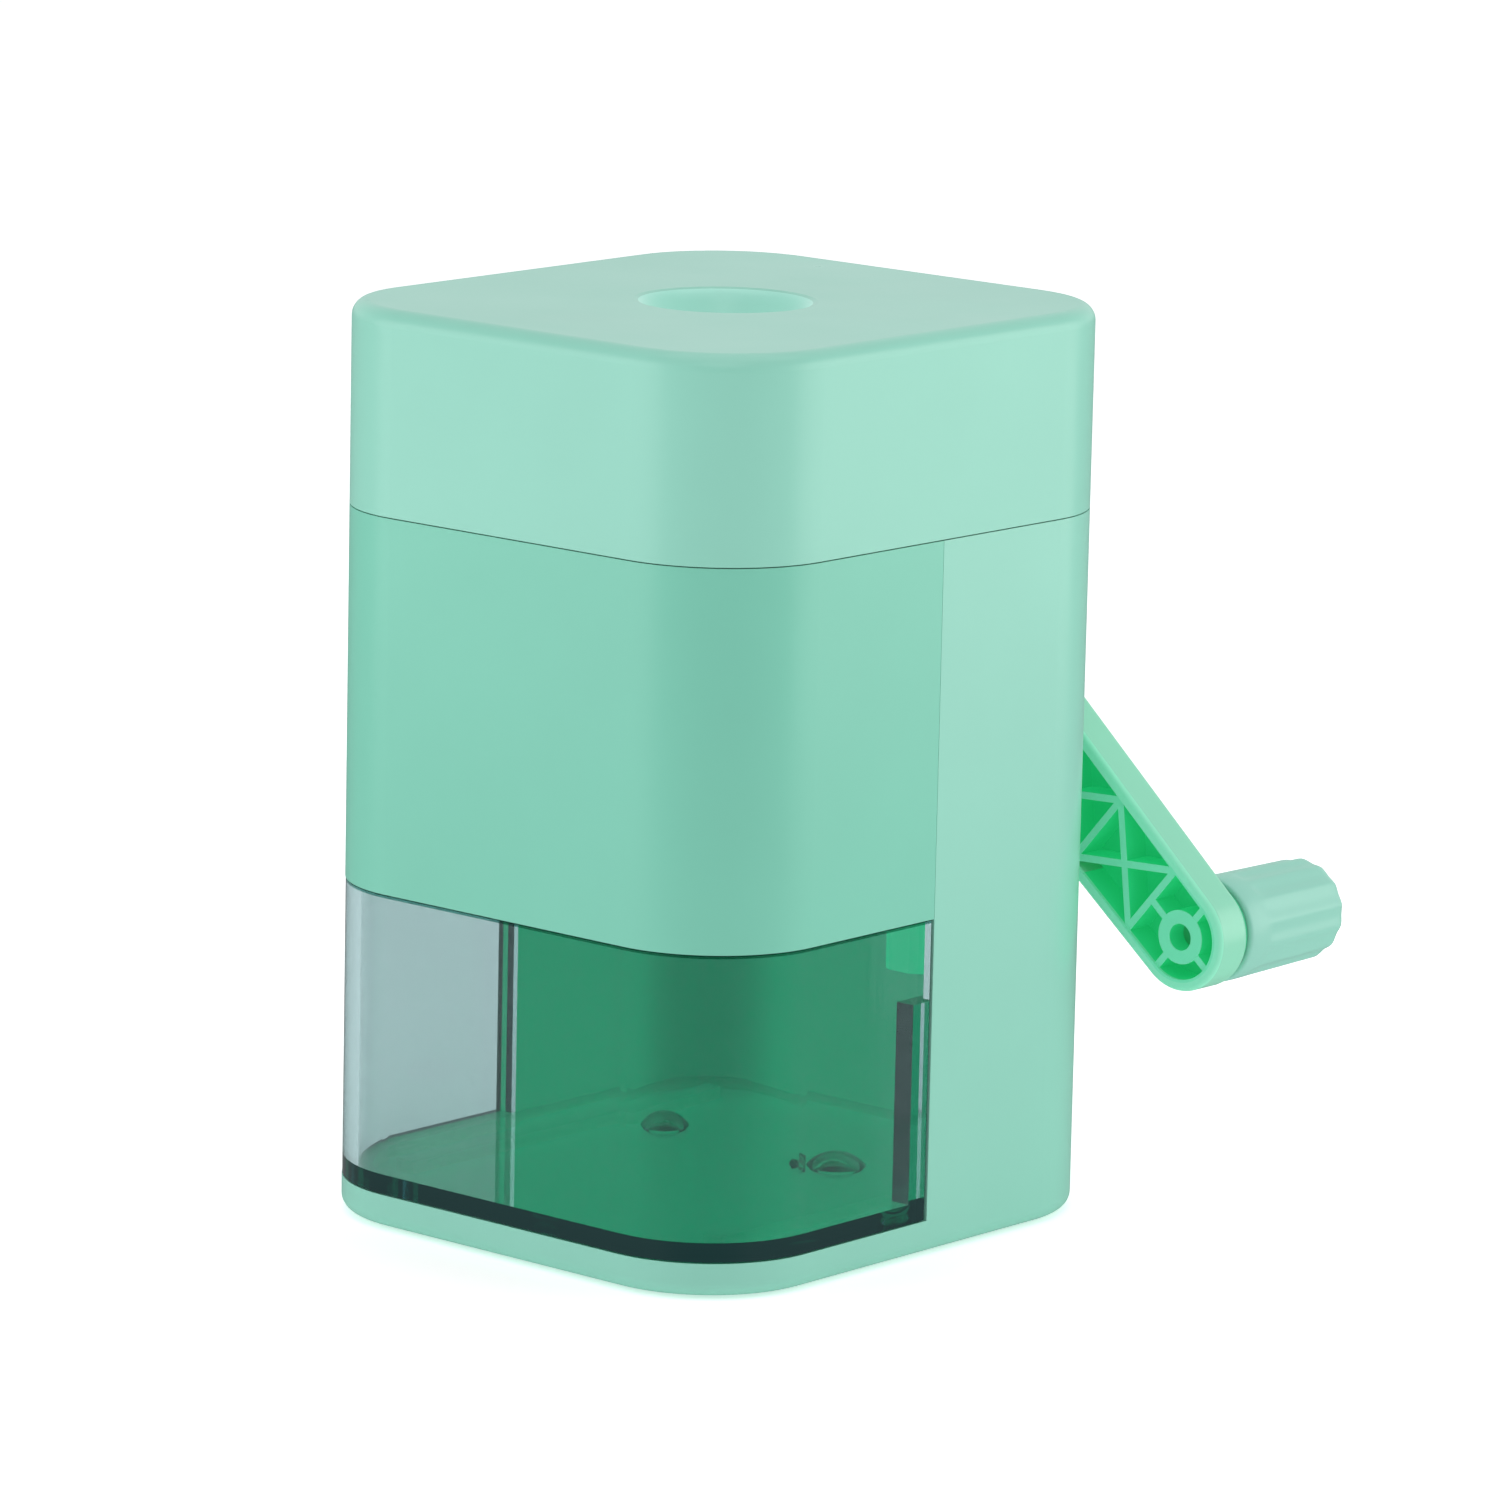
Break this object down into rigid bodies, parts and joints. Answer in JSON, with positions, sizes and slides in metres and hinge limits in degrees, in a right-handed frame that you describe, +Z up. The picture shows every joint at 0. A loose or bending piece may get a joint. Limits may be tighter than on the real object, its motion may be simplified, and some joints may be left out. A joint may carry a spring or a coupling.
{
  "type": "hand-crank pencil sharpener",
  "caption": "Upright desktop pencil sharpener with rounded square body, top pencil hole, clear smoke shavings drawer in front and a ribbed hand crank with fluted knob behind.",
  "frame": {"origin": "centre of the underside's rubber pad, on the resting plane", "axes": "+Z up, -Y towards the drawer front, +Y towards the crank, +X to the right seen from the drawer"},
  "size_m": [0.0718, 0.0946, 0.0998],
  "materials": {
    "mint_shell": "glossy moulded plastic",
    "mint_front": "glossy moulded plastic, a shade deeper",
    "mint_crank": "glossy moulded plastic",
    "mint_knob": "satin moulded plastic",
    "smoke_clear": "clear smoke-tinted moulding",
    "pad_rubber": "matt",
    "frame_nylon": "satin",
    "gear_acetal": "satin",
    "washer_acetal": "satin",
    "carrier_cast": "as cast",
    "cutter_steel": "ground",
    "steel_shaft": "turned",
    "zinc_screw": "zinc plated",
    "bush_bronze": "sintered"
  },
  "bodies": {
    "housing": {"rear_housing": "mint_shell", "front_cover": "mint_front", "lid": "mint_shell", "base_pad": "pad_rubber", "chassis": "frame_nylon", "chassis_screws": "zinc_screw", "top_plate": "frame_nylon", "plate_screws": "zinc_screw", "upper_bush": "bush_bronze", "lower_bush": "bush_bronze", "ring_gear": "gear_acetal", "ring_gear_screws": "zinc_screw", "shaft_bush": "bush_bronze", "thrust_washer": "washer_acetal", "pencil_guide": "gear_acetal"},
    "drawer": {"drawer": "smoke_clear"},
    "crank": {"crank_shaft": "steel_shaft", "bevel_pinion": "gear_acetal", "pinion_clip": "zinc_screw", "shaft_circlip": "steel_shaft", "crank_arm": "mint_crank", "knob_axle": "mint_crank"},
    "knob": {"knob": "mint_knob"},
    "carrier": {"carrier_frame": "carrier_cast", "crown_gear": "gear_acetal", "crown_screws": "zinc_screw", "cutter_axle": "steel_shaft", "axle_clip": "steel_shaft"},
    "cutter": {"cutter": "cutter_steel", "cutter_pinion": "steel_shaft"}
  },
  "joints": [
    {"name": "crank_turn", "type": "hinge", "parent": "housing", "child": "crank", "pos_m": [0, 0.0336, 0.0596], "axis": [0, 1, 0], "continuous": true},
    {"name": "knob_turn", "type": "hinge", "parent": "crank", "child": "knob", "pos_m": [0.03483, 0.05, 0.02986], "axis": [0, 1, 0], "continuous": true},
    {"name": "drawer_slide", "type": "slide", "parent": "housing", "child": "drawer", "axis": [0, -1, 0], "range_m": [0, 0.055]},
    {"name": "carrier_turn", "type": "hinge", "parent": "housing", "child": "carrier", "pos_m": [0, 0, 0.06], "axis": [0, 0, 1], "continuous": true},
    {"name": "cutter_turn", "type": "hinge", "parent": "carrier", "child": "cutter", "pos_m": [0, 0, 0.02076], "axis": [-0.1712, -0.0623, 0.9833], "continuous": true}
  ],
  "couplings": [
    {"joint": "carrier_turn", "follows": "crank_turn", "ratio": -0.5},
    {"joint": "cutter_turn", "follows": "crank_turn", "ratio": 1.7917}
  ]
}
